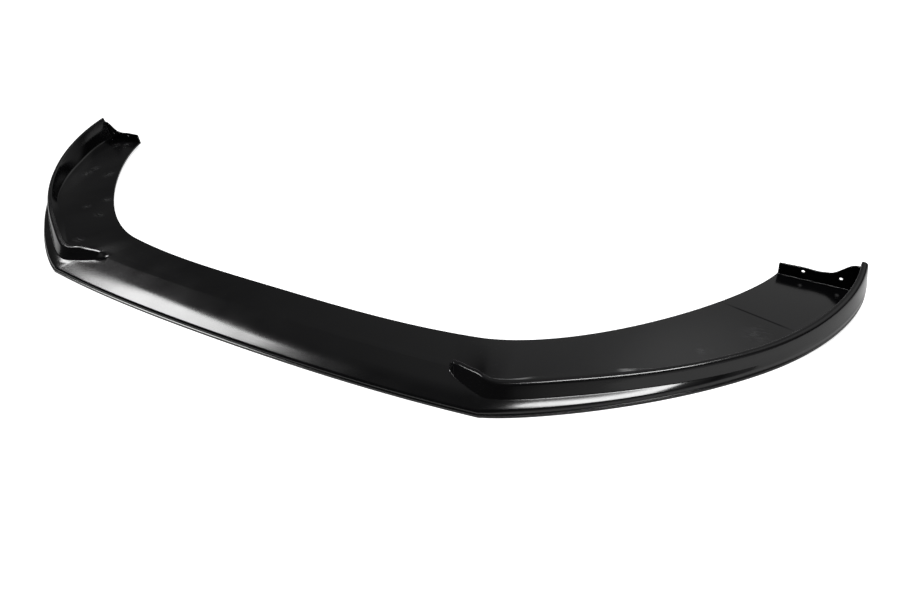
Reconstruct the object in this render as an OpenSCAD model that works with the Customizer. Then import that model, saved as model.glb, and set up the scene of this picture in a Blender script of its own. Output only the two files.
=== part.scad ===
// Front splitter lip for a car: one moulded sheet, U-shaped in plan, lying on its bottom rim.
// X runs across the car, +Y points to the rear of the car, +Z is up.
// The origin lies on the bottom plane, midway across and midway along.
// Every section stands upright between the inner edge and the outer rim; t is 0 at the middle, 1 at the ends.

/* [Sheet] */
// wall thickness of the moulded sheet
sheet_t = 3; // [2.8:0.1:3.2]
// height of the deck's inner edge above the bottom plane
deck_z = 12; // [10:0.5:15]

/* [Plan of the outer rim] */
// half width across the outer rim at the rear ends
half_w = 901; // [880:1:930]
// distance from the middle of the inner edge to the rear ends
arm_len = 355; // [340:1:380]
// depth of the lip at its middle, inner edge to nose
mid_depth = 144; // [136:1:150]
// place of the front corner of the rim, sideways
corner_x = 474; // [465:1:485]
// how far the rim has come back at the front corner
corner_back = 22.5; // [18:0.5:26]
// direction of the rim at the front corner, degrees
corner_turn = 6.6; // [4:0.2:9]
// reach of the rounding that follows the front corner
corner_reach = 55; // [45:1:65]
// reach of the rounding before the rear end
rear_reach = 240; // [225:5:260]
// direction of the rim at the rear end, degrees
rear_turn = 95; // [91:0.5:97]

/* [Plan of the inner edge] */
// width of each arm at its rear end
arm_w = 130; // [122:1:138]
// place where the inner edge starts to turn back, sideways
bend_x = 400; // [380:1:410]
// how far the inner edge has come back there
bend_back = 21; // [17:1:25]
// direction of the inner edge there, degrees
bend_turn = 9.6; // [7:0.2:12]
// reach of the rounding that follows
bend_reach = 161; // [145:1:175]
// reach of the rounding before the rear end
end_reach = 100; // [90:1:125]
// direction of the inner edge at the rear end, degrees
end_turn = 74.5; // [68:0.5:78]

/* [Nose and rim] */
// width of the sloping nose at the middle
nose_w = 76; // [66:1:84]
// height of the break line between deck and nose
break_z = 14; // [12:0.5:16]
// height of the nose above the bottom plane
nose_z = 11; // [10:0.5:12]
// rounding of the nose
nose_r = 6; // [4:0.5:7]
// width of the ledge that the rim makes below the nose
rim_step = 2.4; // [1.6:0.2:3]
// height of the rim
rim_h = 4; // [3:0.5:4.5]
// rise of the bottom edge of the arm at the rear end
rear_lift = 10; // [6:1:12]

/* [Corner fin] */
// station of the fin tip, share of the way from the middle to the end
tip_t = 0.38; // [0.37:0.002:0.39]
// height of the fin top at the tip
tip_z = 26; // [24:0.5:28]
// height of the fin top past the tip
fin_z = 33; // [31:0.5:35]
// height of the fin top where the arm wall starts to rise
shoulder_z = 39; // [37:0.5:41]
// height of the arm wall at the rear end
wall_z = 62; // [58:1:66]
// width of the flat strip along the top of fin and wall
strip_w = 9; // [8.6:0.2:11]
// rounding of the outer edge of the strip
ridge_r = 7; // [4:0.5:8]
// rounding at the foot of the step face
foot_r = 2.5; // [2:0.5:4]
// height of the foot of the step face
foot_z = 16; // [15:0.5:17.5]
// width of the blade that sticks out below the step face
blade_w = 18.6; // [15:0.2:20]
// extra width of the blade at the fin tip
tip_w = 51; // [44:1:54]
// sideways lean of the step face at the front corner
lean_front = 12.5; // [10:0.5:15]
// extra lean of the step face where the fin bends round the corner
lean_bend = 13; // [8:1:15]
// sideways lean of the arm wall
lean_rear = 4.3; // [3.5:0.2:5.5]
// height of the deck beside the arm wall
crease_z = 8; // [7:0.5:10]

/* [Rear flange] */
// thickness of the flange
flange_t = 3; // [2.5:0.5:4]
// height of the flange top edge at its inner end
flange_z = 32; // [30:0.5:36]
// height of the flange top edge beside the wall
flange_high = 53; // [48:0.5:55]
// depth of the dip in the top edge
dip = 2; // [0:0.5:4]
// distance of the dip from the rear outer corner
dip_in = 71; // [62:1:77]
// radius of the screw holes
hole_r = 2.75; // [2:0.25:3.5]
// height of the screw holes
hole_z = 24.5; // [23:0.5:26]
// distance of the outer screw hole from the rear outer corner
hole_out = 37.5; // [34:0.5:44]
// distance between the two screw holes of a flange
hole_gap = 55.5; // [45:0.5:62]

/* [Hidden] */
turn_t = 0.42;
blend_t = 0.035;
rear_y = arm_len;
nose_y = -mid_depth;
mid_y = (rear_y + nose_y) / 2;
blade_end_t = 0.88;
wall_t0 = 0.61;
wall_t1 = 0.84;
rise_t = 0.80;

function mix(a, b, k) = a + (b - a) * k;
function clamp01(x) = min(1, max(0, x));
function ramp(t, a, b) = let (k = clamp01((t - a) / (b - a))) k * k * (3 - 2 * k);
function unit(v) = v / norm(v);
function aim(a) = [cos(a), sin(a)];
function bezier(p, t) =
    pow(1 - t, 3) * p[0] + 3 * t * pow(1 - t, 2) * p[1] + 3 * t * t * (1 - t) * p[2] + pow(t, 3) * p[3];

// A plan curve in two pieces: the front piece has even steps across, the side piece runs to the rear end.
// Both are carried a little past their joint and blended there.
function front_piece(y0, c, turn) = [[0, y0], [c.x / 3, y0], [c.x * 2 / 3, c.y - c.x / 3 * tan(turn)], c];
function side_piece(c, turn, reach, end, end_reach, end_turn) =
    [c, c + reach * aim(turn), end - end_reach * aim(end_turn), end];
function along(front, side, t) = mix(
    bezier(front, min(t, turn_t + blend_t) / turn_t),
    bezier(side, (max(t, turn_t - blend_t) - turn_t) / (1 - turn_t)),
    ramp(t, turn_t - blend_t, turn_t + blend_t));

rim_corner = [corner_x, nose_y + corner_back];
rim_front = front_piece(nose_y, rim_corner, corner_turn);
rim_side = side_piece(rim_corner, corner_turn, corner_reach, [half_w, rear_y], rear_reach, rear_turn);
bend = [bend_x, bend_back];
edge_front = front_piece(0, bend, bend_turn);
edge_side = side_piece(bend, bend_turn, bend_reach, [half_w - arm_w, rear_y], end_reach, end_turn);

// Heights along the part
function ridge_z(t) = mix(tip_z, fin_z, ramp(t, tip_t, 0.45))
    + (shoulder_z - fin_z) * clamp01((t - 0.47) / (rise_t - 0.47))
    + (wall_z - shoulder_z) * pow(clamp01((t - rise_t) / (1 - rise_t)), 1.4);
function bottom_z(t) = rear_lift * ramp(t, 0.80, 1);

// Distances from the outer rim, measured back along the section
function blade(t) = blade_w * (1 - ramp(t, 0.56, blade_end_t)) + tip_w * exp(-max(0, t - tip_t) / 0.033) + 1.2;
function lean(t) = (lean_rear + (lean_front - lean_rear) * (1 - ramp(t, 0.52, 0.74))
    + lean_bend * exp(-pow((t - 0.422) / 0.04, 2))) * ramp(t, tip_t - 0.012, tip_t + 0.02);

// Corners of the upper side of the section at station t, for a section len long: [distance, height, radius]
function corners(t, len) = let (
    fin = ramp(t, tip_t, tip_t + 0.009),
    near = ramp(t, 0.12, tip_t),
    foot_d = mix(mix(nose_w * 0.53, nose_w * 0.84, near), blade(t), fin),
    foot_h = mix(mix(break_z - 0.9, break_z - 0.2, near), mix(break_z, foot_z, ramp(t, tip_t, 0.45)), fin) + bottom_z(t),
    ridge_d = mix(mix(nose_w, nose_w * 0.9, near), blade(t) + lean(t), fin),
    ridge_h = mix(break_z, ridge_z(t), fin),
    strip_d = ridge_d + strip_w,
    strip_h = mix(break_z - 0.25, ridge_h, fin),
    wall = ramp(t, wall_t0, wall_t1),
    swell = ramp(t, tip_t - 0.05, tip_t + 0.05),
    flush_h = mix(break_z - 0.4, ridge_z(max(t, tip_t)) - 0.6, swell),
    deck_h = mix(flush_h, crease_z, wall),
    deck_d = strip_d + mix(mix(32, 14, ramp(t, tip_t, 0.47)), 7, ramp(t, wall_t0, 0.76)) + 7 * exp(-pow((t - 0.885) / 0.05, 2)),
    low = bottom_z(t),
    back = mix(rim_step, 0.3, ramp(t, 0.78, 0.90))
) [
    [0, deck_z, 0],
    [len - deck_d, deck_h, 5],
    [len - strip_d, strip_h, 2.5],
    [len - ridge_d, ridge_h, ridge_r],
    [len - foot_d, foot_h, foot_r],
    [len - back, low + nose_z, nose_r],
    [len - back, low + rim_h, 0],
    [len, low + rim_h, 0],
    [len, low, 0]
];

// Corners of the lower side: every edge moved down by the sheet thickness
function normal2(a, b) = let (d = unit(b - a)) [d.y, -d.x];
function lowered(c, i) = let (
    p = [c[i].x, c[i].y],
    q = [for (j = [i - 1, i + 1]) j < 0 || j > 8 ? undef : [c[j].x, c[j].y]],
    n1 = q[0] == undef ? normal2(p, q[1]) : normal2(q[0], p),
    n2 = q[1] == undef ? normal2(q[0], p) : normal2(p, q[1]),
    bend = (n1.x * n2.y - n1.y * n2.x) > 0 ? 1 : -1,
    m = p + sheet_t * (n1 + n2) / (1 + n1 * n2)
) [m.x, m.y, c[i].z == 0 ? 0 : max(0.4, c[i].z + bend * sheet_t)];

// A corner rounded by an arc of n steps; neighbouring roundings share an edge in proportion to their radii
function rounded(a, b, c, r, n) = let (
    p = [b.x, b.y],
    u = unit([a.x, a.y] - p),
    v = unit([c.x, c.y] - p),
    half = acos(max(-1, min(1, u * v))) / 2,
    room = 0.94 * b.z * min(norm([a.x, a.y] - p) / (a.z + b.z), norm([c.x, c.y] - p) / (c.z + b.z)),
    reach = min(room, r / tan(max(1, half))),
    rad = reach * tan(half),
    mid = p + unit(u + v + [0, 1e-9]) * rad / sin(half),
    s = p + u * reach - mid,
    swing = 180 - 2 * half,
    way = (s.x * (v.y * reach + p.y - mid.y) - s.y * (v.x * reach + p.x - mid.x)) > 0 ? 1 : -1
) half > 89.6 ? [for (k = [0:n]) p + mix(u * 0.2, v * 0.2, k / n)]
  : [for (k = [0:n]) let (a = way * swing * k / n) mid + [s.x * cos(a) - s.y * sin(a), s.x * sin(a) + s.y * cos(a)]];

steps = [0, 4, 3, 4, 3, 5, 0, 0, 0];
function outline(c) = [for (i = [0:8]) each
    steps[i] == 0 ? [[c[i].x, c[i].y]] : rounded(c[i - 1], c[i], c[i + 1], c[i].z, steps[i])];
function section(t, len) = let (
    top = corners(t, len),
    low = [for (i = [0:8]) lowered(top, i)],
    up = outline(top),
    down = outline(low)
) concat(up, [for (i = [len(down) - 1:-1:0]) down[i]]);

// Stations: even steps, closer together at the fin tip and round the front corner
half_t = concat(
    [for (i = [0:6]) tip_t * 0.92 * i / 7],
    [for (i = [0:3]) tip_t * (0.92 + 0.08 * i / 4)],
    [for (i = [0:3]) tip_t + 0.009 * i / 4],
    [for (i = [0:18]) tip_t + 0.009 + (0.62 - tip_t - 0.009) * i / 19],
    [for (i = [0:17]) 0.62 + 0.38 * i / 17]
);
stations = concat([for (i = [len(half_t) - 1:-1:1]) -half_t[i]], half_t);

module shell() {
    rings = [for (s = stations) let (
        t = abs(s),
        side = s < 0 ? -1 : 1,
        a = along(edge_front, edge_side, t),
        b = along(rim_front, rim_side, t),
        out = unit(b - a)
    ) [for (q = section(t, norm(b - a))) let (p = a + out * q.x) [side * p.x, p.y, q.y]]];
    m = len(rings[0]);
    n = len(rings);
    half_m = m / 2;
    polyhedron(
        points = [for (r = rings) each r],
        faces = concat(
            [for (i = [0:n - 2]) for (j = [0:m - 1]) let (k = (j + 1) % m)
                each [[i * m + j, (i + 1) * m + k, i * m + k], [i * m + j, (i + 1) * m + j, (i + 1) * m + k]]],
            [for (j = [0:half_m - 2]) each [[j, j + 1, m - 1 - j], [j + 1, m - 2 - j, m - 1 - j]]],
            [for (j = [0:half_m - 2]) let (e = (n - 1) * m)
                each [[e + j, e + m - 1 - j, e + j + 1], [e + j + 1, e + m - 1 - j, e + m - 2 - j]]]
        )
    );
}

// Upright flange at the rear end of the right arm, seen along Y
inner_x = half_w - arm_w;
end_c = corners(1, arm_w);
function flange_top(x) = flange_z - dip * exp(-pow((x - half_w + dip_in) / 14, 2))
    + (flange_high - flange_z) * ramp(x, half_w - 55, half_w - 20);
module flange() {
    wall_x = inner_x + end_c[2].x + sheet_t * 0.6;
    foot_x = inner_x + end_c[1].x + sheet_t * 0.6;
    difference() {
        translate([0, rear_y, 0])
            rotate([90, 0, 0])
                linear_extrude(flange_t)
                    polygon(concat(
                        [[inner_x, deck_z - sheet_t * 0.6], [foot_x, end_c[1].y - sheet_t * 0.6]],
                        [for (i = [24:-1:0]) let (x = inner_x + (wall_x - inner_x) * i / 24) [x, flange_top(x)]]
                    ));
        for (x = [half_w - hole_out, half_w - hole_out - hole_gap])
            translate([x, rear_y + 1, hole_z])
                rotate([90, 0, 0])
                    cylinder(r = hole_r, h = flange_t + 2, $fn = 32);
    }
}

module splitter_lip() {
    color([0.03, 0.03, 0.035])
        translate([0, -mid_y, 0])
            union() {
                shell();
                flange();
                mirror([1, 0, 0]) flange();
            }
}

splitter_lip();
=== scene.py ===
"""Front splitter lip for a car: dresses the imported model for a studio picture.

The lip is one moulded sheet of gloss black plastic. Its surface is worked out again here with
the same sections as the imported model, on a finer grid, so that the gloss shows smooth
reflections. All lengths in the classes are millimetres, and meshes are written in metres.
"""
import logging
import math
from dataclasses import dataclass, field
from enum import Enum

import bmesh
import bpy
import numpy as np
from mathutils import Matrix


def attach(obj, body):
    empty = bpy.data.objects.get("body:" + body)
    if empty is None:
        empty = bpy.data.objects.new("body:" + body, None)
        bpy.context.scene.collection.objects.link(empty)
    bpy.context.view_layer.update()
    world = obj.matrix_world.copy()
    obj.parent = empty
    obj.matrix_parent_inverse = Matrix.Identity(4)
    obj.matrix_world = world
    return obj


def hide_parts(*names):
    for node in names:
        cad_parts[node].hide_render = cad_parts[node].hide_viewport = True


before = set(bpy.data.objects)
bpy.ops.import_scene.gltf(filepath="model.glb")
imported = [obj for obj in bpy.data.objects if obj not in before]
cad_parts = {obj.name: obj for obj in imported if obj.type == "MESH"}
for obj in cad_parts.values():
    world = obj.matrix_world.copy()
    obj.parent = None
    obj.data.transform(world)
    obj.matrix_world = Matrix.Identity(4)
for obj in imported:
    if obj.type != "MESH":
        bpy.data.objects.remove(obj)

log = logging.getLogger("splitter_lip")
MM = 0.001


class Side(Enum):
    """The two mirror-image ends of the lip."""

    RIGHT = 1
    LEFT = -1


def srgb(code: str) -> tuple[float, float, float, float]:
    """Turns an sRGB hex colour into linear RGBA.

    Args:
        code: six hex digits with a leading hash.

    Returns:
        Linear red, green, blue and an alpha of 1.
    """
    parts = [int(code[i:i + 2], 16) / 255 for i in (1, 3, 5)]
    lin = [c / 12.92 if c <= 0.04045 else ((c + 0.055) / 1.055) ** 2.4 for c in parts]
    return (lin[0], lin[1], lin[2], 1.0)


def add_node(tree: bpy.types.NodeTree, kind: str, settings: dict | None = None,
             inputs: dict | None = None, links: dict | None = None) -> bpy.types.Node:
    """Adds one node with its settings, its socket values and its incoming links.

    Args:
        tree: the node tree that takes the node.
        kind: the node's type name.
        settings: attributes of the node.
        inputs: socket name or index to constant value.
        links: socket name or index to the output socket that feeds it.

    Returns:
        The new node.
    """
    node = tree.nodes.new(kind)
    for key, value in (settings or {}).items():
        setattr(node, key, value)
    for key, value in (inputs or {}).items():
        node.inputs[key].default_value = value
    for key, value in (links or {}).items():
        tree.links.new(value, node.inputs[key])
    return node


def ramp(x: np.ndarray, a: float, b: float) -> np.ndarray:
    """Smooth step: 0 before a, 1 after b, and 3k^2 - 2k^3 between."""
    k = np.clip((x - a) / (b - a), 0.0, 1.0)
    return k * k * (3 - 2 * k)


def mix(a: np.ndarray | float, b: np.ndarray | float, k: np.ndarray | float) -> np.ndarray:
    """Straight blend from a at k = 0 to b at k = 1."""
    return a + (b - a) * k


def unit(v: np.ndarray) -> np.ndarray:
    """Vectors of the last axis, scaled to length 1."""
    return v / np.maximum(np.linalg.norm(v, axis=-1, keepdims=True), 1e-12)


@dataclass(frozen=True)
class PlanCurve:
    """A plan curve of two cubic pieces: an even front piece, then a side piece to the rear end."""

    start: tuple[float, float]
    corner: tuple[float, float]
    turn: float
    reach: float
    end: tuple[float, float]
    end_reach: float
    end_turn: float
    joint: float = 0.42
    blend: float = 0.035

    @staticmethod
    def cubic(p: np.ndarray, s: np.ndarray) -> np.ndarray:
        """The cubic (1-s)^3 p0 + 3 s (1-s)^2 p1 + 3 s^2 (1-s) p2 + s^3 p3."""
        s = s[:, None]
        return ((1 - s) ** 3 * p[0] + 3 * s * (1 - s) ** 2 * p[1]
                + 3 * s ** 2 * (1 - s) * p[2] + s ** 3 * p[3])

    def at(self, t: np.ndarray) -> np.ndarray:
        """Points of the curve.

        Each piece is a cubic over its share of t. Both are carried a little past their joint and
        blended there, so that the curve has no kink.

        Args:
            t: stations from 0 at the middle to 1 at the rear end.

        Returns:
            One (x, y) row for each station.
        """
        a, b = math.radians(self.turn), math.radians(self.end_turn)
        c, e = np.array(self.corner), np.array(self.end)
        third = self.corner[0] / 3
        front = np.array([self.start, (third, self.start[1]),
                          (c[0] - third, c[1] - third * math.tan(a)), self.corner])
        side = np.array([c, c + self.reach * np.array([math.cos(a), math.sin(a)]),
                         e - self.end_reach * np.array([math.cos(b), math.sin(b)]), e])
        low, high = self.joint - self.blend, self.joint + self.blend
        first = self.cubic(front, np.minimum(t, high) / self.joint)
        second = self.cubic(side, (np.maximum(t, low) - self.joint) / (1 - self.joint))
        return mix(first, second, ramp(t, low, high)[:, None])


@dataclass(frozen=True)
class GlossBlackPlastic:
    """ABS, injection moulded in polished steel and left unpainted: deep black and glossy.

    The eye gets near-black with mirror-like streaks of whatever is bright around it, softened by
    handling haze, with a few greasy smudges and one fine line across the right arm where the gloss
    is weaker, so that it shows a little darker.

    Each smudge is (x, y, radius) and the line of weaker gloss is given by its two ends, seen from
    above in millimetres.
    """

    name: str = "Gloss black ABS"
    black: str = "#050506"
    scuff: str = "#5c5c5e"
    ior: float = 1.5
    roughness: float = 0.15
    haze: float = 0.04
    smudge_level: float = 0.2
    smudge_dulling: float = 0.2
    smudges: tuple[tuple[float, float, float], ...] = (
        (778, 85, 30), (721, 14, 22), (-596, 4, 16), (-602, -44, 14), (-550, -53, 18),
        (-490, -149, 16), (-767, 81, 20), (-770, 107, 18), (-829, 216, 20), (-798, 229, 18),
        (-704, 93, 22))
    dull_line: tuple[tuple[float, float], tuple[float, float]] = ((712, 140), (832, 114))
    dull_line_half_w: float = 1.9
    gloss_level: float = 0.5
    dull_line_gloss_level: float = 0.12

    def smudge_mask(self, tree: bpy.types.NodeTree,
                    place: bpy.types.NodeSocket) -> bpy.types.NodeSocket:
        """Finger smudges: patches seen from above, broken up by streaks about 4 mm wide.

        Args:
            tree: the node tree that takes the nodes.
            place: object coordinates in metres.

        Returns:
            The socket that carries the mask, 0 on clean plastic.
        """
        flat = add_node(tree, "ShaderNodeVectorMath", {"operation": "MULTIPLY"},
                        inputs={1: (1.0, 1.0, 0.0)}, links={0: place}).outputs["Vector"]
        mask = None
        for x, y, radius in self.smudges:
            away = add_node(tree, "ShaderNodeVectorMath", {"operation": "DISTANCE"},
                            inputs={1: (x * MM, y * MM, 0.0)}, links={0: flat})
            patch = add_node(tree, "ShaderNodeMapRange", {"interpolation_type": "SMOOTHSTEP"}, {
                "From Min": radius * MM, "From Max": 0.0}, {"Value": away.outputs["Value"]})
            here = patch.outputs["Result"]
            if mask is not None:
                here = add_node(tree, "ShaderNodeMath", {"operation": "MAXIMUM"},
                                links={0: mask, 1: here}).outputs["Value"]
            mask = here
        turned = add_node(tree, "ShaderNodeMapping", inputs={
            "Rotation": (0.0, 0.0, 0.6), "Scale": (1.0, 3.0, 1.0)}, links={"Vector": place})
        streak = add_node(tree, "ShaderNodeTexNoise", inputs={"Scale": 90.0, "Detail": 3.0},
                          links={"Vector": turned.outputs["Vector"]})
        broken = add_node(tree, "ShaderNodeMapRange", inputs={"From Min": 0.42, "From Max": 0.7},
                          links={"Value": streak.outputs["Fac"]})
        return add_node(tree, "ShaderNodeMath", {"operation": "MULTIPLY"}, links={
            0: mask, 1: broken.outputs["Result"]}).outputs["Value"]

    def dull_line_mask(self, tree: bpy.types.NodeTree,
                  place: bpy.types.NodeSocket) -> bpy.types.NodeSocket:
        """Fine line of weaker gloss across the right arm: a straight band seen from above.

        With n the band's sideways direction and p a point on it, the mask is 1 where
        |(place - p).n| is small, and it counts only between the band's two ends.

        Args:
            tree: the node tree that takes the nodes.
            place: object coordinates in metres.

        Returns:
            The socket that carries the mask, 1 on the line.
        """
        a, b = (np.array([*q, 0.0]) * MM for q in self.dull_line)
        along = (b - a) / np.linalg.norm(b - a)
        away = np.array([-along[1], along[0], 0.0])
        masks = []
        for axis, origin, half in ((away, a, self.dull_line_half_w * MM),
                                   (along, (a + b) / 2, float(np.linalg.norm(b - a)) / 2)):
            dot = add_node(tree, "ShaderNodeVectorMath", {"operation": "DOT_PRODUCT"},
                           inputs={1: tuple(map(float, axis))}, links={0: place})
            off = add_node(tree, "ShaderNodeMath", {"operation": "SUBTRACT"},
                           {1: float(origin @ axis)}, {0: dot.outputs["Value"]})
            size = add_node(tree, "ShaderNodeMath", {"operation": "ABSOLUTE"},
                            links={0: off.outputs["Value"]})
            masks.append(add_node(tree, "ShaderNodeMapRange", inputs={
                "From Min": half, "From Max": half * 0.5},
                links={"Value": size.outputs["Value"]}).outputs["Result"])
        return add_node(tree, "ShaderNodeMath", {"operation": "MULTIPLY"},
                        links={0: masks[0], 1: masks[1]}).outputs["Value"]

    def build(self) -> bpy.types.Material:
        """Makes the node material.

        Returns:
            The finished material.
        """
        mat = bpy.data.materials.new(self.name)
        mat.use_nodes = True
        tree = mat.node_tree
        tree.nodes.clear()
        place = add_node(tree, "ShaderNodeTexCoord").outputs["Object"]
        smudge = self.smudge_mask(tree, place)
        # Handling haze: patches about 60 mm across that are a little less glossy.
        haze = add_node(tree, "ShaderNodeTexNoise", inputs={"Scale": 16.0, "Detail": 3.0},
                        links={"Vector": place})
        rough = add_node(tree, "ShaderNodeMapRange", inputs={
            "From Min": 0.35, "From Max": 0.75, "To Min": self.roughness,
            "To Max": self.roughness + self.haze}, links={"Value": haze.outputs["Fac"]})
        # A smudge is greasy: it scatters the reflection and greys the black a little.
        duller = add_node(tree, "ShaderNodeMath", {"operation": "MULTIPLY_ADD"},
                          {1: self.smudge_dulling}, {0: smudge, 2: rough.outputs["Result"]})
        share = add_node(tree, "ShaderNodeMath", {"operation": "MULTIPLY"},
                         {1: self.smudge_level}, {0: smudge})
        colour = add_node(tree, "ShaderNodeMix", {"data_type": "RGBA"}, {
            "A": srgb(self.black), "B": srgb(self.scuff)}, {"Factor": share.outputs["Value"]})
        # A fine straight line of weaker gloss, so that the reflection shows a little darker there.
        gloss = add_node(tree, "ShaderNodeMapRange", inputs={
            "To Min": self.gloss_level, "To Max": self.dull_line_gloss_level}, links={
            "Value": self.dull_line_mask(tree, place)})
        shader = add_node(tree, "ShaderNodeBsdfPrincipled", inputs={"IOR": self.ior}, links={
            "Roughness": duller.outputs["Value"], "Base Color": colour.outputs["Result"],
            "Specular IOR Level": gloss.outputs["Result"]})
        add_node(tree, "ShaderNodeOutputMaterial", links={"Surface": shader.outputs["BSDF"]})
        return mat


@dataclass
class SplitterLip:
    """The moulded lip: deck, nose, rim, corner fins, end walls and rear flanges in one sheet.

    Stations t run from 0 at the middle to 1 at the rear ends. A section stands upright between
    the inner edge and the outer rim, and its corners are given as distance from the inner edge,
    height and rounding radius. The two numbers in a ramp over t are the stations between which a
    size changes.
    """

    sheet_t: float = 3.0
    deck_z: float = 12.0
    half_w: float = 900.7
    arm_len: float = 355.0
    mid_depth: float = 144.0
    corner_x: float = 474.0
    corner_back: float = 22.5
    corner_turn: float = 6.6
    corner_reach: float = 55.0
    rear_reach: float = 240.0
    rear_turn: float = 95.0
    arm_w: float = 130.0
    bend_x: float = 400.0
    bend_back: float = 21.0
    bend_turn: float = 9.6
    bend_reach: float = 161.0
    end_reach: float = 100.0
    end_turn: float = 74.5
    nose_w: float = 77.0
    nose_foot_share: float = 0.84
    break_z: float = 14.0
    nose_low: float = 9.0
    nose_z: float = 11.0
    crown_w: float = 30.0
    nose_crown_share: float = 0.78
    blade_crown_share: float = 0.5
    crown_r: float = 170.0
    blade_crown: float = 0.032
    nose_r: float = 9.0
    rim_step: float = 2.4
    rear_step: float = 0.3
    rim_h: float = 4.0
    rear_lift: float = 10.0
    tip_t: float = 0.38
    back_drop: float = 3.0
    tip_z: float = 26.0
    fin_z: float = 33.0
    shoulder_z: float = 39.0
    wall_z: float = 62.0
    strip_w: float = 9.0
    ridge_r: float = 7.0
    foot_r: float = 2.5
    foot_z: float = 16.0
    blade_w: float = 18.6
    tip_w: float = 51.0
    lean_front: float = 12.5
    lean_bend: float = 13.0
    lean_rear: float = 4.3
    crease_z: float = 8.0
    rise_t: float = 0.80
    tip_flank_w: float = 4.0
    side_flank_w: float = 14.0
    wall_flank_w: float = 7.0
    flank_bulge: float = 7.0
    strip_r: float = 2.5
    flank_r: float = 5.0
    edge_r: float = 0.7
    rim_r: float = 0.35
    flange_t: float = 3.0
    flange_z: float = 32.0
    flange_high: float = 53.0
    dip: float = 2.0
    dip_in: float = 71.0
    dip_w: float = 14.0
    flange_end_r: float = 1.5
    flange_edge_r: float = 0.7
    flange_fillet: float = 0.9
    hole_r: float = 2.75
    hole_z: float = 24.5
    hole_out: float = 37.5
    hole_gap: float = 55.5
    arc_steps: tuple[int, ...] = (2, 7, 5, 7, 7, 8, 12, 2, 3, 2)
    panel_steps: tuple[int, ...] = (8, 2, 2, 3, 2, 2, 2, 1, 1)
    name: str = "lip_moulding"

    @property
    def mid_y(self) -> float:
        """Y of the model's origin, measured from the middle of the inner edge."""
        return (self.arm_len - self.mid_depth) / 2

    def rim(self) -> PlanCurve:
        """Plan of the outer rim."""
        return PlanCurve(
            (0, -self.mid_depth), (self.corner_x, -self.mid_depth + self.corner_back),
            self.corner_turn, self.corner_reach, (self.half_w, self.arm_len),
            self.rear_reach, self.rear_turn)

    def edge(self) -> PlanCurve:
        """Plan of the inner edge."""
        return PlanCurve(
            (0, 0), (self.bend_x, self.bend_back), self.bend_turn, self.bend_reach,
            (self.half_w - self.arm_w, self.arm_len), self.end_reach, self.end_turn)

    def ridge_z(self, t: np.ndarray) -> np.ndarray:
        """Height of the fin and wall top: tip to fin, then a straight rise, then a steep one."""
        return (mix(self.tip_z, self.fin_z, ramp(t, self.tip_t, 0.45))
                + (self.shoulder_z - self.fin_z) * np.clip((t - 0.47) / (self.rise_t - 0.47), 0, 1)
                + (self.wall_z - self.shoulder_z)
                * np.clip((t - self.rise_t) / (1 - self.rise_t), 0, 1) ** 1.4)

    def bottom_z(self, t: np.ndarray) -> np.ndarray:
        """Height of the rim's bottom edge, which lifts toward the rear end."""
        return self.rear_lift * ramp(t, 0.80, 1.0)

    def blade(self, t: np.ndarray) -> np.ndarray:
        """Width of the blade outside the step face: even along the side, wide at the tip."""
        return (self.blade_w * (1 - ramp(t, 0.56, 0.88))
                + self.tip_w * np.exp(-np.maximum(0, t - self.tip_t) / 0.033) + 1.2)

    def lean(self, t: np.ndarray) -> np.ndarray:
        """Sideways lean of the step face, widest where the fin bends round the corner."""
        return ((self.lean_rear + (self.lean_front - self.lean_rear) * (1 - ramp(t, 0.52, 0.74))
                 + self.lean_bend * np.exp(-((t - 0.422) / 0.04) ** 2))
                * ramp(t, self.tip_t - 0.012, self.tip_t + 0.02))

    def corners(self, t: np.ndarray, length: np.ndarray) -> np.ndarray:
        """Corners of the upper side of each section.

        Args:
            t: stations.
            length: section lengths from inner edge to rim.

        Returns:
            Array of (station, corner, [distance, height, radius]).
        """
        fin = ramp(t, self.tip_t, self.tip_t + 0.009)
        past = ramp(t, 0.40, 0.53)
        rise = ramp(t, 0.42, 0.52)
        low = self.bottom_z(t)
        foot_d = mix(self.nose_w * self.nose_foot_share, self.blade(t), fin)
        foot_h = mix(self.break_z - 0.1, mix(self.break_z, self.foot_z, rise), fin) + low
        ridge_d = mix(self.nose_w, self.blade(t) + self.lean(t), fin)
        ridge_h = mix(self.break_z, self.ridge_z(t), fin)
        strip_d = ridge_d + self.strip_w
        strip_h = mix(self.break_z - 0.25, ridge_h, fin)
        wall = ramp(t, 0.61, 0.84)
        flush_h = mix(self.break_z - 0.4, self.ridge_z(t) - self.back_drop,
                      ramp(t, self.tip_t, 0.50))
        deck_h = mix(flush_h, self.crease_z, wall)
        flank = mix(mix(self.tip_flank_w, self.side_flank_w, ramp(t, 0.48, 0.61)),
                    self.wall_flank_w, ramp(t, 0.61, 0.76))
        deck_d = strip_d + flank + self.flank_bulge * np.exp(-((t - 0.885) / 0.05) ** 2)
        front_h = low + mix(self.nose_low, self.nose_z, past)
        back = mix(self.rim_step, self.rear_step, ramp(t, 0.78, 0.90))
        share = mix(self.nose_crown_share, self.blade_crown_share, past)
        crown_d = np.minimum(self.crown_w, mix(back, foot_d, share))
        line_h = mix(front_h, foot_h, (crown_d - back) / (foot_d - back))
        line_h = line_h + self.blade_crown * (foot_d - back)
        crown_h = mix(self.break_z - 0.4, line_h, past)
        zero, one = np.zeros_like(t), np.ones_like(t)
        e = self.edge_r
        rows = [
            (zero, one * self.deck_z, one * e),
            (length - deck_d, deck_h, one * self.flank_r),
            (length - strip_d, strip_h, one * self.strip_r),
            (length - ridge_d, ridge_h, one * self.ridge_r),
            (length - foot_d, foot_h, one * self.foot_r),
            (length - crown_d, crown_h, one * self.crown_r),
            (length - back, front_h, one * self.nose_r),
            (length - back, low + self.rim_h, one * e),
            (length, low + self.rim_h, one * self.rim_r),
            (length, low, one * e),
        ]
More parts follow.
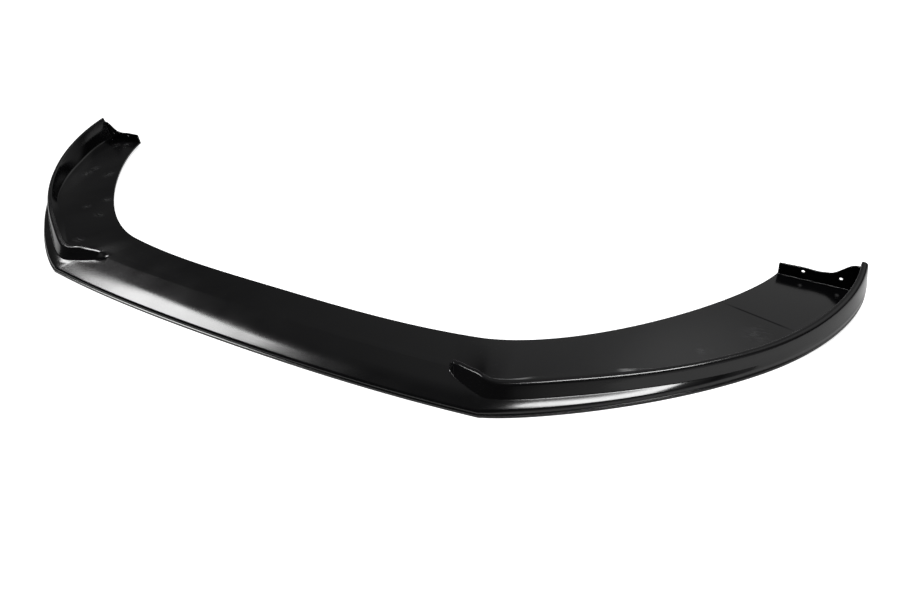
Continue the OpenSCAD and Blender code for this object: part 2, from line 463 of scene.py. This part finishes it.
        return np.stack([np.stack(r, -1) for r in rows], 1)

    def lowered(self, top: np.ndarray) -> np.ndarray:
        """Corners of the lower side: every edge moved down by the sheet thickness.

        A corner moves by t (n1 + n2) / (1 + n1.n2), where n1 and n2 are the downward normals of
        its two edges, so that both edges end up at the same distance.

        Args:
            top: corners of the upper side.

        Returns:
            Corners of the lower side, in the same layout.
        """
        p = top[..., :2]
        d = unit(np.diff(p, axis=1))
        n = np.stack([d[..., 1], -d[..., 0]], -1)
        n1 = np.concatenate([n[:, :1], n], 1)
        n2 = np.concatenate([n, n[:, -1:]], 1)
        turn = n1[..., 0] * n2[..., 1] - n1[..., 1] * n2[..., 0]
        moved = p + self.sheet_t * (n1 + n2) / (1 + (n1 * n2).sum(-1, keepdims=True))
        r = np.maximum(0.3, top[..., 2] + np.where(turn > 0, 1, -1) * self.sheet_t)
        r[:, [0, -1]] = self.edge_r
        return np.concatenate([moved, r[..., None]], -1)

    @staticmethod
    def rounded(a: np.ndarray, b: np.ndarray, c: np.ndarray, steps: int) -> np.ndarray:
        """Arc that rounds corner b between its neighbours a and c.

        The arc touches both edges at radius / tan(half angle) from the corner, capped so that
        neighbouring roundings share an edge by their radii, up to 12 each, and turns by 180
        degrees less the corner's angle.

        Args:
            a: corners before.
            b: corners to round.
            c: corners after.
            steps: segments in the arc.

        Returns:
            Array of (station, steps + 1, 2).
        """
        p = b[:, :2]
        u, v = unit(a[:, :2] - p), unit(c[:, :2] - p)
        half = np.arccos(np.clip((u * v).sum(-1), -1, 1)) / 2
        flat = half > math.radians(89.6)
        half = np.where(flat, math.radians(89.6), half)
        wa, wb, wc = (np.minimum(12, q[:, 2]) for q in (a, b, c))
        room = 0.94 * wb * np.minimum(np.linalg.norm(a[:, :2] - p, axis=-1) / (wa + wb),
                                      np.linalg.norm(c[:, :2] - p, axis=-1) / (wc + wb))
        reach = np.minimum(room, b[:, 2] / np.tan(half))
        rad = reach * np.tan(half)
        mid = p + unit(u + v + [0, 1e-9]) * (rad / np.sin(half))[:, None]
        s = p + u * reach[:, None] - mid
        e = p + v * reach[:, None] - mid
        way = np.where(s[:, 0] * e[:, 1] - s[:, 1] * e[:, 0] > 0, 1.0, -1.0)
        k = np.arange(steps + 1) / steps
        ang = (way * (math.pi - 2 * half))[:, None] * k
        arc = mid[:, None] + np.stack([
            s[:, :1] * np.cos(ang) - s[:, 1:] * np.sin(ang),
            s[:, :1] * np.sin(ang) + s[:, 1:] * np.cos(ang)], -1)
        line = p[:, None] + 0.2 * mix(u[:, None], v[:, None], k[None, :, None])
        return np.where(flat[:, None, None], line, arc)

    def outline(self, c: np.ndarray) -> np.ndarray:
        """One side of each section as points: rounded corners with even points on the panels.

        Args:
            c: corners of the side.

        Returns:
            Array of (station, point, 2).
        """
        before = np.concatenate([2 * c[:, :1] - c[:, 1:2], c[:, :-1]], 1)
        after = np.concatenate([c[:, 1:], 2 * c[:, -1:] - c[:, -2:-1]], 1)
        arcs = [c[:, :1, :2]]
        arcs += [self.rounded(before[:, i], c[:, i], after[:, i], self.arc_steps[i])
                 for i in range(1, c.shape[1] - 1)]
        arcs.append(c[:, -1:, :2])
        parts = [arcs[0]]
        for i, arc in enumerate(arcs[1:]):
            k = np.arange(1, self.panel_steps[i])[None, :, None] / self.panel_steps[i]
            parts += [mix(parts[-1][:, -1:], arc[:, :1], k), arc]
        return np.concatenate(parts, 1)

    def stations(self) -> np.ndarray:
        """Stations from the left end (-1) to the right end (1), closer together at the fin tip.

        Returns:
            Signed stations in rising order.
        """
        half = np.concatenate([
            np.linspace(0, 0.35, 56, endpoint=False),
            np.linspace(0.35, self.tip_t - 0.001, 14, endpoint=False),
            np.linspace(self.tip_t - 0.001, self.tip_t + 0.010, 22, endpoint=False),
            np.linspace(self.tip_t + 0.010, 0.62, 100, endpoint=False),
            np.linspace(0.62, 1.0, 96),
        ])
        return np.concatenate([-half[:0:-1], half])

    def surface(self) -> tuple[np.ndarray, np.ndarray]:
        """The moulded sheet as a grid: closed sections carried from end to end, with end caps.

        A point is edge(t) + unit(rim(t) - edge(t)) * distance, at the section's height, and the
        left half is the right half with X reversed.

        Returns:
            Vertices in millimetres and faces as vertex numbers.
        """
        s = self.stations()
        t = np.abs(s)
        a, b = self.edge().at(t), self.rim().at(t)
        length = np.linalg.norm(b - a, axis=1)
        out = unit(b - a)
        top = self.corners(t, length)
        up = self.outline(top)
        down = self.outline(self.lowered(top))
        ring = np.concatenate([up, down[:, ::-1]], 1)
        xy = a[:, None] + out[:, None] * ring[..., :1]
        x = xy[..., 0] * np.where(s < 0, -1, 1)[:, None]
        verts = np.stack([x, xy[..., 1] - self.mid_y, ring[..., 1]], -1)
        n, m = verts.shape[:2]
        i, j = np.meshgrid(np.arange(n - 1), np.arange(m), indexing="ij")
        k = (j + 1) % m
        walls = np.stack([i * m + j, (i + 1) * m + j, (i + 1) * m + k, i * m + k], -1)
        j = np.arange(m // 2 - 1)
        cap = np.stack([j, j + 1, m - 2 - j, m - 1 - j], -1)
        faces = np.concatenate([walls.reshape(-1, 4), cap, (n - 1) * m + cap[:, ::-1]])
        return verts.reshape(-1, 3), faces

    def flange_top(self, x: np.ndarray) -> np.ndarray:
        """Top edge of the flange: level with a shallow dip, then a rise beside the wall."""
        dip = self.dip * np.exp(-((x - self.half_w + self.dip_in) / self.dip_w) ** 2)
        rise = ramp(x, self.half_w - 55, self.half_w - 20)
        return self.flange_z - dip + (self.flange_high - self.flange_z) * rise

    def flange(self, side: Side) -> tuple[np.ndarray, np.ndarray]:
        """One rear flange as a closed section carried across the arm.

        The section is an upright plate with a rounded top and a small fillet where its front
        face meets the deck; its foot is sunk in the sheet.

        Args:
            side: which arm.

        Returns:
            Vertices in millimetres and faces as vertex numbers.
        """
        end = self.corners(np.array([1.0]), np.array([self.arm_w]))[0]
        x0 = self.half_w - self.arm_w
        x1 = x0 + end[2, 0] + self.sheet_t * 0.6
        c = self.flange_end_r
        x = np.concatenate([x0 + c * (1 - np.cos(np.linspace(0, math.pi / 2, 7))),
                            np.linspace(x0 + c, x1, 120)[1:]])
        corner = c - np.sqrt(np.maximum(0, c ** 2 - np.clip(x0 + c - x, 0, c) ** 2))
        deck = np.minimum(np.interp(x, x0 + end[:3, 0], end[:3, 1]), self.flange_top(x) - 5)
        low = deck - self.sheet_t * 0.6
        top = np.maximum(self.flange_top(x) - corner, deck + 1)
        r, f = self.flange_edge_r, self.flange_fillet
        y1 = self.arm_len
        y0 = y1 - self.flange_t
        q = np.linspace(0, math.pi / 2, 6)
        pts = [(y0 - f, low)]
        pts += [(y0 - f + f * math.sin(a), deck + f * (1 - math.cos(a)) - 0.01) for a in q]
        pts += [(y0, mix(deck + f, top - r, k)) for k in np.linspace(0, 1, 8)[1:-1]]
        pts += [(y0 + r - r * math.cos(a), top - r + r * math.sin(a)) for a in q]
        pts += [(y1 - r + r * math.sin(a), top - r + r * math.cos(a)) for a in q]
        pts += [(y1, mix(top - r, low, k)) for k in np.linspace(0, 1, 8)[1:]]
        grid = np.stack([np.stack([x * side.value, np.full_like(x, y - self.mid_y),
                                   np.broadcast_to(z, x.shape)], -1) for y, z in pts], 1)
        n, m = grid.shape[:2]
        i, j = np.meshgrid(np.arange(n - 1), np.arange(m), indexing="ij")
        k = (j + 1) % m
        faces = np.stack([i * m + j, i * m + k, (i + 1) * m + k, (i + 1) * m + j], -1)
        faces = faces.reshape(-1, 4).tolist()
        faces += [list(range(m))[::-1], [(n - 1) * m + q for q in range(m)]]
        return grid.reshape(-1, 3), faces

    def hole_cutter(self, x: float) -> bpy.types.Object:
        """A round rod along Y that cuts one screw hole, as a ring of points carried along Y.

        Args:
            x: sideways place of the hole.

        Returns:
            The rod's object.
        """
        count = 64
        a = np.linspace(0, 2 * math.pi, count, endpoint=False)
        ring = np.stack([x + self.hole_r * np.cos(a), np.zeros_like(a),
                         self.hole_z + self.hole_r * np.sin(a)], -1)
        y = self.arm_len - self.mid_y
        verts = np.concatenate([ring + [0, y - self.flange_t - 4, 0], ring + [0, y + 4, 0]])
        j = np.arange(count)
        k = (j + 1) % count
        faces = np.stack([j, k, k + count, j + count], -1).tolist()
        faces += [list(range(count))[::-1], list(range(count, 2 * count))]
        return make_object("hole_cutter", verts, faces)

    def build(self) -> bpy.types.Object:
        """Builds the whole moulding as one closed mesh.

        Returns:
            The lip's object, in the row frame.
        """
        lip = make_object(self.name, *self.surface())
        tools = [("UNION", make_object("flange", *self.flange(side))) for side in Side]
        for side in Side:
            for gap in (0.0, self.hole_gap):
                x = side.value * (self.half_w - self.hole_out - gap)
                tools.append(("DIFFERENCE", self.hole_cutter(x)))
        for operation, tool in tools:
            cut = lip.modifiers.new(operation.lower(), "BOOLEAN")
            cut.operation, cut.object, cut.solver = operation, tool, "EXACT"
        freeze(lip)
        for _, tool in tools:
            bpy.data.objects.remove(tool, do_unlink=True)
        lip.data.shade_smooth()
        lip.data.set_sharp_from_angle(angle=math.radians(32))
        return lip


def make_object(name: str, verts: np.ndarray, faces: np.ndarray | list) -> bpy.types.Object:
    """Makes a mesh object from millimetre vertices, with normals pointing outward.

    Args:
        name: object name.
        verts: vertices in millimetres.
        faces: vertex numbers of each face.

    Returns:
        The object, at the origin.
    """
    mesh = bpy.data.meshes.new(name)
    rows = faces if isinstance(faces, list) else faces.tolist()
    mesh.from_pydata(np.asarray(verts) * MM, [], rows)
    bm = bmesh.new()
    bm.from_mesh(mesh)
    bmesh.ops.remove_doubles(bm, verts=bm.verts, dist=1e-7)
    bmesh.ops.recalc_face_normals(bm, faces=bm.faces)
    bm.to_mesh(mesh)
    bm.free()
    mesh.update()
    obj = bpy.data.objects.new(name, mesh)
    bpy.context.scene.collection.objects.link(obj)
    return obj


def freeze(obj: bpy.types.Object) -> None:
    """Applies an object's modifiers to its mesh.

    Args:
        obj: the object, which keeps the result as its own mesh.
    """
    graph = bpy.context.evaluated_depsgraph_get()
    mesh = bpy.data.meshes.new_from_object(obj.evaluated_get(graph))
    obj.modifiers.clear()
    obj.data = mesh


@dataclass
class SoftBox:
    """A rectangular studio lamp that faces a point of the lip."""

    name: str
    place: tuple[float, float, float]
    target: tuple[float, float, float]
    size: tuple[float, float]
    power: float
    turn: float = 0.0

    def build(self) -> bpy.types.Object:
        """Makes the lamp.

        Returns:
            The lamp object.
        """
        data = bpy.data.lights.new(self.name, "AREA")
        data.shape = "RECTANGLE"
        data.size, data.size_y = self.size
        data.energy = self.power
        lamp = bpy.data.objects.new(self.name, data)
        back = unit(np.array(self.place) - np.array(self.target))
        right = unit(np.cross([0, 0, 1.0], back) + [1e-9, 0, 0])
        up = np.cross(back, right)
        c, s = math.cos(math.radians(self.turn)), math.sin(math.radians(self.turn))
        axes = np.stack([c * right + s * up, c * up - s * right, back], 1)
        turn = Matrix([[*map(float, row)] for row in axes]).to_4x4()
        lamp.matrix_world = Matrix.Translation(self.place) @ turn
        bpy.context.scene.collection.objects.link(lamp)
        return lamp


@dataclass(frozen=True)
class RoomGlow:
    """A broad pale part of the room, seen only as a reflection in the gloss.

    Its middle is given as azimuth and height, and its fade as two angles from there, in degrees.
    """

    azimuth: float
    height: float
    inner: float
    outer: float
    strength: float

    def build(self, tree: bpy.types.NodeTree,
              way: bpy.types.NodeSocket) -> bpy.types.NodeSocket:
        """Makes the glow: full inside the inner angle, nothing past the outer angle.

        Args:
            tree: the world's node tree.
            way: the direction that is looked at.

        Returns:
            The socket that carries the strength.
        """
        a, e = math.radians(self.azimuth), math.radians(self.height)
        middle = (math.sin(a) * math.cos(e), math.cos(a) * math.cos(e), math.sin(e))
        dot = add_node(tree, "ShaderNodeVectorMath", {"operation": "DOT_PRODUCT"},
                       inputs={1: middle}, links={0: way})
        angle = add_node(tree, "ShaderNodeMath", {"operation": "ARCCOSINE"},
                         links={0: dot.outputs["Value"]})
        glow = add_node(tree, "ShaderNodeMapRange", inputs={
            "From Min": math.radians(self.inner), "From Max": math.radians(self.outer),
            "To Min": self.strength, "To Max": 0.0}, links={"Value": angle.outputs["Value"]})
        return glow.outputs["Result"]


@dataclass
class Studio:
    """White backdrop paper and two soft boxes in a dim room.

    The paper is white to the camera, and the gloss mirrors it in the sides of the lip. The room
    above the paper is dim apart from its glows, and the upper faces mirror that.
    """

    floor_size: float = 40.0
    white: str = "#ffffff"
    paper: str = "#d8d8d8"
    paper_glow: float = 0.8
    paper_gloss: float = 0.1
    room_level: float = 0.3
    room_gloss: float = 0.05
    lamps: list[SoftBox] = field(default_factory=list)
    glows: list[RoomGlow] = field(default_factory=list)

    @staticmethod
    def level(tree: bpy.types.NodeTree, seen: float, mirrored: float | bpy.types.NodeSocket,
              rest: float) -> bpy.types.NodeSocket:
        """Strength by kind of ray: one for the camera and glass, one for gloss, one for the rest.

        Args:
            tree: the node tree that takes the nodes.
            seen: strength for camera and transmission rays.
            mirrored: strength for glossy rays.
            rest: strength for all other rays.

        Returns:
            The socket that carries the strength.
        """
        ray = add_node(tree, "ShaderNodeLightPath").outputs
        eye = add_node(tree, "ShaderNodeMath", {"operation": "MAXIMUM"},
                       links={0: ray["Is Camera Ray"], 1: ray["Is Transmission Ray"]})
        gloss = add_node(tree, "ShaderNodeMapRange", inputs={"To Min": rest},
                         links={"Value": ray["Is Glossy Ray"]})
        if isinstance(mirrored, float):
            gloss.inputs["To Max"].default_value = mirrored
        else:
            tree.links.new(mirrored, gloss.inputs["To Max"])
        both = add_node(tree, "ShaderNodeMix", {"data_type": "FLOAT"}, inputs={"B": seen}, links={
            "Factor": eye.outputs["Value"], "A": gloss.outputs["Result"]})
        return both.outputs["Result"]

    def floor_material(self) -> bpy.types.Material:
        """Matt white backdrop paper: white to the eye, with a faint shadow under the lip.

        Returns:
            The finished material.
        """
        mat = bpy.data.materials.new("Matt white backdrop paper")
        mat.use_nodes = True
        tree = mat.node_tree
        tree.nodes.clear()
        paper = add_node(tree, "ShaderNodeBsdfDiffuse", inputs={"Color": srgb(self.paper)})
        glow = add_node(tree, "ShaderNodeEmission", inputs={"Color": srgb(self.white)}, links={
            "Strength": self.level(tree, self.paper_glow, self.paper_gloss, 0.0)})
        both = add_node(tree, "ShaderNodeAddShader",
                        links={0: paper.outputs["BSDF"], 1: glow.outputs["Emission"]})
        add_node(tree, "ShaderNodeOutputMaterial", links={"Surface": both.outputs["Shader"]})
        return mat

    def build(self) -> None:
        """Makes the floor, the world and the lamps."""
        h = self.floor_size / 2 / MM
        floor = make_object("floor", np.array([(-h, -h, 0), (h, -h, 0), (h, h, 0), (-h, h, 0)]),
                            [[0, 1, 2, 3]])
        floor.data.materials.append(self.floor_material())
        world = bpy.data.worlds.new("Studio")
        bpy.context.scene.world = world
        world.use_nodes = True
        tree = world.node_tree
        tree.nodes.clear()
        way = add_node(tree, "ShaderNodeTexCoord").outputs["Generated"]
        room = add_node(tree, "ShaderNodeValue").outputs["Value"]
        room.default_value = self.room_gloss
        for glow in self.glows:
            room = add_node(tree, "ShaderNodeMath", {"operation": "ADD"},
                            links={0: room, 1: glow.build(tree, way)}).outputs["Value"]
        back = add_node(tree, "ShaderNodeBackground", inputs={"Color": srgb(self.white)}, links={
            "Strength": self.level(tree, 1.0, room, self.room_level)})
        add_node(tree, "ShaderNodeOutputWorld", links={"Surface": back.outputs["Background"]})
        for lamp in self.lamps:
            lamp.build()
        bpy.context.scene.view_settings.view_transform = "Standard"


@dataclass
class PictureCamera:
    """The photograph's viewpoint, solved from the mirror symmetry of the lip."""

    place: tuple[float, float, float] = (933.8, -867.0, 789.9)
    yaw: float = 35.50
    pitch: float = 37.03
    roll: float = -8.0
    focal_px: float = 787.22
    width_px: int = 920

    def build(self) -> bpy.types.Object:
        """Makes the camera and sets it as the scene's.

        Returns:
            The camera object.
        """
        a, e, r = map(math.radians, (self.yaw, self.pitch, self.roll))
        back = np.array([math.sin(a) * math.cos(e), -math.cos(a) * math.cos(e), math.sin(e)])
        right = np.array([math.cos(a), math.sin(a), 0.0])
        up = np.cross(back, right)
        tilted = math.cos(r) * right + math.sin(r) * up
        above = -math.sin(r) * right + math.cos(r) * up
        data = bpy.data.cameras.new("Picture camera")
        data.sensor_width = 36.0
        data.lens = self.focal_px / self.width_px * data.sensor_width
        cam = bpy.data.objects.new("Picture camera", data)
        turn = Matrix([[*map(float, row)] for row in np.stack([tilted, above, back], 1)]).to_4x4()
        cam.matrix_world = Matrix.Translation([c * MM for c in self.place]) @ turn
        bpy.context.scene.collection.objects.link(cam)
        bpy.context.scene.camera = cam
        return cam


def main() -> None:
    """Builds the camera, the studio and the lip."""
    logging.basicConfig(level=logging.INFO, format="%(name)s: %(message)s")
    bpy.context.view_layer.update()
    PictureCamera().build()
    log.info("camera placed")
    Studio(lamps=[
        SoftBox("Left box", (-4.567, 1.275, 3.977), (-0.1, -0.22, 0.0), (1.37, 1.61), 90.0),
        SoftBox("Overhead box", (0.86, 0.23, 2.5), (0.86, 0.23, 0.0), (1.45, 0.4), 47.0, -8.0),
    ], glows=[
        RoomGlow(-5.0, 30.0, 6.0, 43.0, 0.42),
        RoomGlow(-5.0, 30.0, 4.0, 18.0, 0.18),
        RoomGlow(55.0, 48.0, 12.0, 34.0, 0.6),
        RoomGlow(130.0, 8.0, 8.0, 40.0, 0.5),
    ]).build()
    log.info("studio lit")
    lip = SplitterLip()
    body = lip.build()
    body.data.materials.clear()
    body.data.materials.append(GlossBlackPlastic().build())
    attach(body, "root")
    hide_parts("splitter_lip")
    log.info("%s: %d faces", body.name, len(body.data.polygons))


if __name__ == "__main__":
    main()
